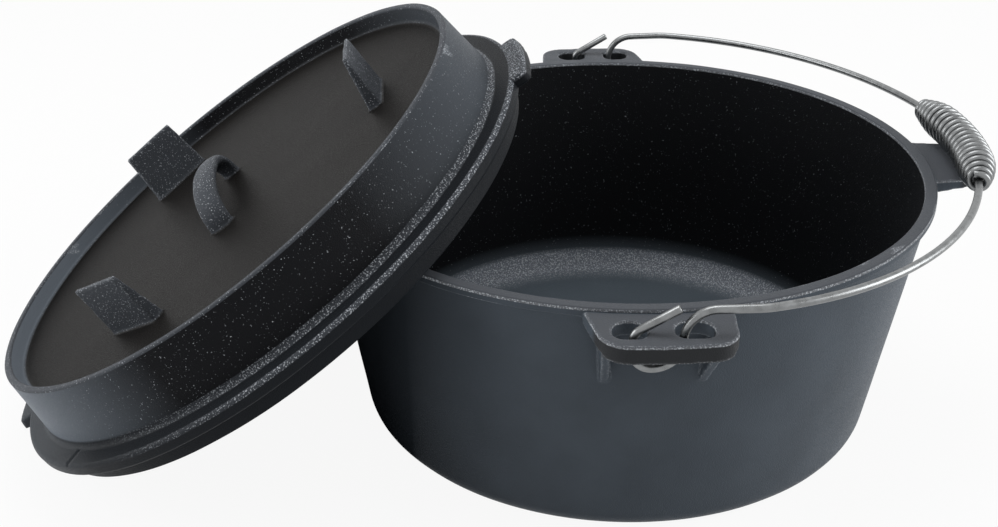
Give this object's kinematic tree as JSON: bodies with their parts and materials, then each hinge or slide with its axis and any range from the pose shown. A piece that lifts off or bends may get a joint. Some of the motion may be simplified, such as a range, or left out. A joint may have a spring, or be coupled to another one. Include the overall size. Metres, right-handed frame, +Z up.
{
  "type": "camp oven",
  "caption": "Deep round cast iron camp oven with a wire bail and coil grip, and its legged lid with a raised rim leaning against its side.",
  "frame": {"origin": "centre of the pot's flat base, on the surface that it stands on", "axes": "+Z up along the pot's axis; +X from the pot towards its third tab, on which the bail's grip rests; the two bail ears lie along Y; the lid leans on the -X side"},
  "size_m": [0.5144, 0.3758, 0.2104],
  "materials": {
    "pot_iron": "seasoned black, fine cast grain, satin",
    "lid_iron": "seasoned black, fine cast grain, satin",
    "bail_steel": "galvanised wire, satin",
    "grip_steel": "galvanised spring wire, satin"
  },
  "bodies": {
    "pot": {"pot": "pot_iron"},
    "lid": {"lid": "lid_iron"},
    "bail": {"bail": "bail_steel", "bail_grip": "grip_steel"}
  },
  "joints": [
    {"name": "bail_swing", "type": "hinge", "parent": "pot", "child": "bail", "pos_m": [0, 0, 0.12945], "axis": [0, -1, 0], "range_deg": [0, 110]},
    {"name": "lid_lift", "type": "slide", "parent": "pot", "child": "lid", "axis": [-0.5669, -0.041, 0.8227], "range_m": [0, 0.25]}
  ]
}
